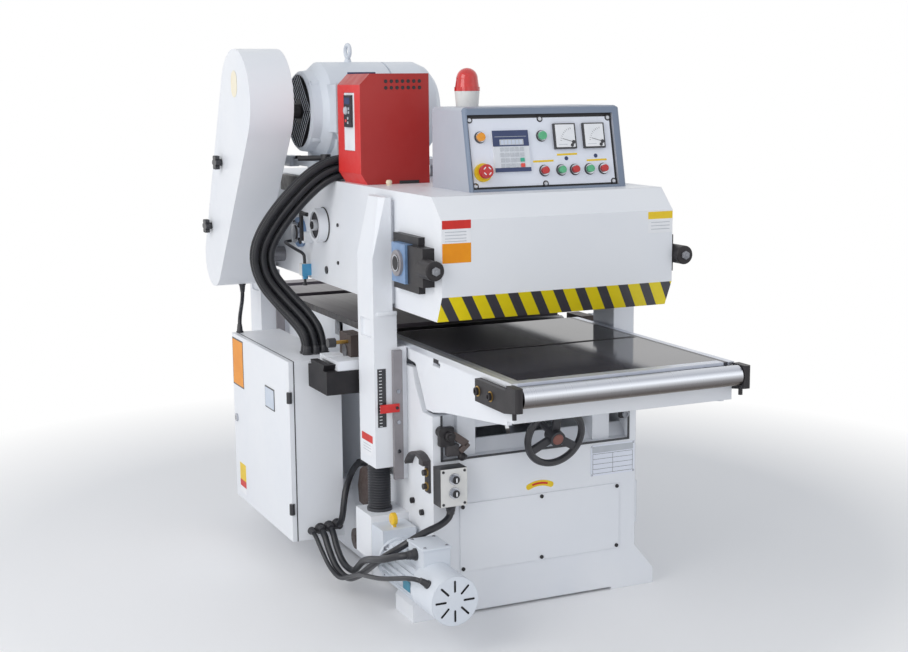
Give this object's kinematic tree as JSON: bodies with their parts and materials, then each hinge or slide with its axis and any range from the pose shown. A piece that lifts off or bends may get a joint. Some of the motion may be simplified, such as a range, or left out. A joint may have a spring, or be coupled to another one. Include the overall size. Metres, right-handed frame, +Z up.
{
  "type": "double-sided planer",
  "caption": "Floor-standing double-sided wood planer: sliding infeed table with front roller, lifting head with feed track, belt guard, control panel, side cabinet and cables.",
  "frame": {"origin": "centre of the anchor bolt pattern of the base, on the floor", "axes": "+Z up; -Y is the infeed and operator side; -X is the side with cabinet and belt guard"},
  "size_m": [1.14, 2.282, 1.718],
  "materials": {
    "black_plastic": "matte",
    "black_rubber": "matte",
    "black_steel": "satin",
    "blue_paint": "semi-gloss",
    "bright_alloy": "brushed",
    "bright_steel": "turned",
    "dark_iron": "rough",
    "dark_table": "ground",
    "green_plastic": "gloss",
    "grey_paint": "hammered",
    "grey_plastic": "matte",
    "panel_alloy": "satin",
    "red_paint": "semi-gloss",
    "red_plastic": "gloss",
    "white_paint": "semi-gloss"
  },
  "bodies": {
    "base": {"base_casting": "white_paint", "base_fittings": "white_paint", "bed_plates": "dark_table", "column_gibs": "bright_steel", "lift_gearboxes": "white_paint", "lift_motor": "white_paint", "carriage_rail": "black_steel", "cabinet_body": "white_paint", "switch_box": "grey_plastic", "base_cables": "black_rubber", "lower_drive": "dark_iron"},
    "head": {"head_side_left": "white_paint", "head_side_right": "white_paint", "head_front_cover": "white_paint", "head_top_cover": "white_paint", "lift_columns": "white_paint", "lift_bellows": "black_rubber", "upper_motor": "white_paint", "motor_plate": "white_paint", "belt_guard": "white_paint", "drive_belt": "black_rubber", "inverter_box": "red_paint", "panel_housing": "grey_paint", "panel_plate": "panel_alloy", "panel_meters": "black_plastic", "beacon": "red_plastic", "takeup_frames": "black_steel", "feed_track": "black_rubber", "side_bearings": "blue_paint", "limit_switch": "grey_plastic", "conduit_bundle": "black_rubber", "switch_cable": "black_rubber"},
    "infeed": {"infeed_table": "dark_table", "table_strips": "bright_alloy", "infeed_casting": "white_paint", "roller_brackets": "black_steel"},
    "roller": {"front_roller": "bright_steel"},
    "wheel": {"handwheel": "black_plastic"},
    "lock": {"lock_lever": "black_steel"},
    "upper_cutter": {"upper_cutterhead": "bright_steel"},
    "motor_shaft": {"motor_pulley": "dark_iron"},
    "rear_track_drum": {"rear_drum": "bright_steel"},
    "takeup": {"takeup_bearings": "blue_paint"},
    "front_track_drum": {"front_drum": "bright_steel"},
    "outfeed": {"outfeed_roller": "bright_steel"},
    "carriage": {"lower_carriage": "dark_iron"},
    "lower_cutter": {"lower_cutterhead": "bright_steel"},
    "lower_shaft": {"lower_motor_pulley": "bright_steel"},
    "knob": {"carriage_knob": "black_plastic"},
    "door": {"cabinet_door": "white_paint"},
    "stop": {"stop_button": "red_plastic"},
    "low_selector": {"selector_low": "black_plastic"},
    "high_selector": {"selector_high": "black_plastic"},
    "clamp": {"clamp_lever": "black_plastic"},
    "plunger": {"switch_plunger": "bright_steel"},
    "push_1": {"button_1": "red_plastic"},
    "push_2": {"button_2": "green_plastic"},
    "push_3": {"button_3": "red_plastic"},
    "push_4": {"button_4": "green_plastic"},
    "push_5": {"button_5": "red_plastic"}
  },
  "joints": [
    {"name": "head_lift", "type": "slide", "parent": "base", "child": "head", "axis": [0, 0, 1], "range_m": [-0.085, 0.055], "deforming": ["lift_bellows", "conduit_bundle"]},
    {"name": "infeed_slide", "type": "slide", "parent": "base", "child": "infeed", "axis": [0, -0.9659, -0.2588], "range_m": [-0.012, 0.02]},
    {"name": "wheel_turn", "type": "hinge", "parent": "base", "child": "wheel", "pos_m": [0, -0.859, 0.548], "axis": [0, -0.9659, -0.2588], "range_deg": [-275, 455]},
    {"name": "roller_spin", "type": "hinge", "parent": "infeed", "child": "roller", "pos_m": [0, -1.292, 0.779], "axis": [1, 0, 0], "continuous": true},
    {"name": "lock_turn", "type": "hinge", "parent": "base", "child": "lock", "pos_m": [-0.322, -0.763, 0.574], "axis": [0, 1, 0], "range_deg": [-50, 5]},
    {"name": "upper_cutter_spin", "type": "hinge", "parent": "head", "child": "upper_cutter", "pos_m": [0, 0.518, 0.973], "axis": [1, 0, 0], "continuous": true},
    {"name": "motor_spin", "type": "hinge", "parent": "head", "child": "motor_shaft", "pos_m": [-0.5, 0.171, 1.491], "axis": [1, 0, 0], "continuous": true},
    {"name": "rear_drum_spin", "type": "hinge", "parent": "head", "child": "rear_track_drum", "pos_m": [0, 0.31, 1.07], "axis": [1, 0, 0], "continuous": true},
    {"name": "takeup_slide", "type": "slide", "parent": "head", "child": "takeup", "axis": [0, 1, 0], "range_m": [0, 0.01]},
    {"name": "front_drum_spin", "type": "hinge", "parent": "takeup", "child": "front_track_drum", "pos_m": [0, -0.684, 1.07], "axis": [1, 0, 0], "continuous": true},
    {"name": "outfeed_spin", "type": "hinge", "parent": "head", "child": "outfeed", "pos_m": [0, 0.668, 0.956], "axis": [1, 0, 0], "continuous": true},
    {"name": "carriage_slide", "type": "slide", "parent": "base", "child": "carriage", "axis": [-1, 0, 0], "range_m": [0, 0.2]},
    {"name": "lower_cutter_spin", "type": "hinge", "parent": "carriage", "child": "lower_cutter", "pos_m": [0, -0.309, 0.754], "axis": [1, 0, 0], "continuous": true},
    {"name": "lower_motor_spin", "type": "hinge", "parent": "base", "child": "lower_shaft", "pos_m": [0.4, 0.15, 0.3], "axis": [1, 0, 0], "continuous": true},
    {"name": "knob_turn", "type": "hinge", "parent": "carriage", "child": "knob", "pos_m": [-0.47, -0.33, 0.786], "axis": [1, 0, 0], "range_deg": [-90, 90]},
    {"name": "door_swing", "type": "hinge", "parent": "base", "child": "door", "pos_m": [-0.615, -0.236, 0.424], "axis": [0, 0, 1], "range_deg": [0, 90]},
    {"name": "stop_press", "type": "slide", "parent": "head", "child": "stop", "axis": [0, 0.9771, -0.2126], "range_m": [0, 0.006]},
    {"name": "low_selector_turn", "type": "hinge", "parent": "base", "child": "low_selector", "pos_m": [-0.303, -0.804, 0.399], "axis": [0, 1, 0], "range_deg": [-45, 45]},
    {"name": "high_selector_turn", "type": "hinge", "parent": "base", "child": "high_selector", "pos_m": [-0.303, -0.804, 0.441], "axis": [0, 1, 0], "range_deg": [-45, 45]},
    {"name": "clamp_turn", "type": "hinge", "parent": "head", "child": "clamp", "pos_m": [-0.382, 0.026, 1.34], "axis": [0, 0, 1], "range_deg": [-15, 10]},
    {"name": "plunger_press", "type": "slide", "parent": "head", "child": "plunger", "axis": [0, 0, 1], "range_m": [0, 0.006], "stiffness_N_per_m": 400},
    {"name": "push_1_press", "type": "slide", "parent": "head", "child": "push_1", "axis": [0, 0.9771, -0.2126], "range_m": [0, 0.004], "stiffness_N_per_m": 500},
    {"name": "push_2_press", "type": "slide", "parent": "head", "child": "push_2", "axis": [0, 0.9771, -0.2126], "range_m": [0, 0.004], "stiffness_N_per_m": 500},
    {"name": "push_3_press", "type": "slide", "parent": "head", "child": "push_3", "axis": [0, 0.9771, -0.2126], "range_m": [0, 0.004], "stiffness_N_per_m": 500},
    {"name": "push_4_press", "type": "slide", "parent": "head", "child": "push_4", "axis": [0, 0.9771, -0.2126], "range_m": [0, 0.004], "stiffness_N_per_m": 500},
    {"name": "push_5_press", "type": "slide", "parent": "head", "child": "push_5", "axis": [0, 0.9771, -0.2126], "range_m": [0, 0.004], "stiffness_N_per_m": 500}
  ],
  "couplings": [
    {"joint": "wheel_turn", "follows": "infeed_slide", "rad_per_m": 392.7},
    {"joint": "motor_spin", "follows": "upper_cutter_spin", "ratio": 0.8},
    {"joint": "front_drum_spin", "follows": "rear_drum_spin", "ratio": 1},
    {"joint": "outfeed_spin", "follows": "rear_drum_spin", "ratio": 3.4978},
    {"joint": "lower_motor_spin", "follows": "lower_cutter_spin", "ratio": 0.75862}
  ]
}
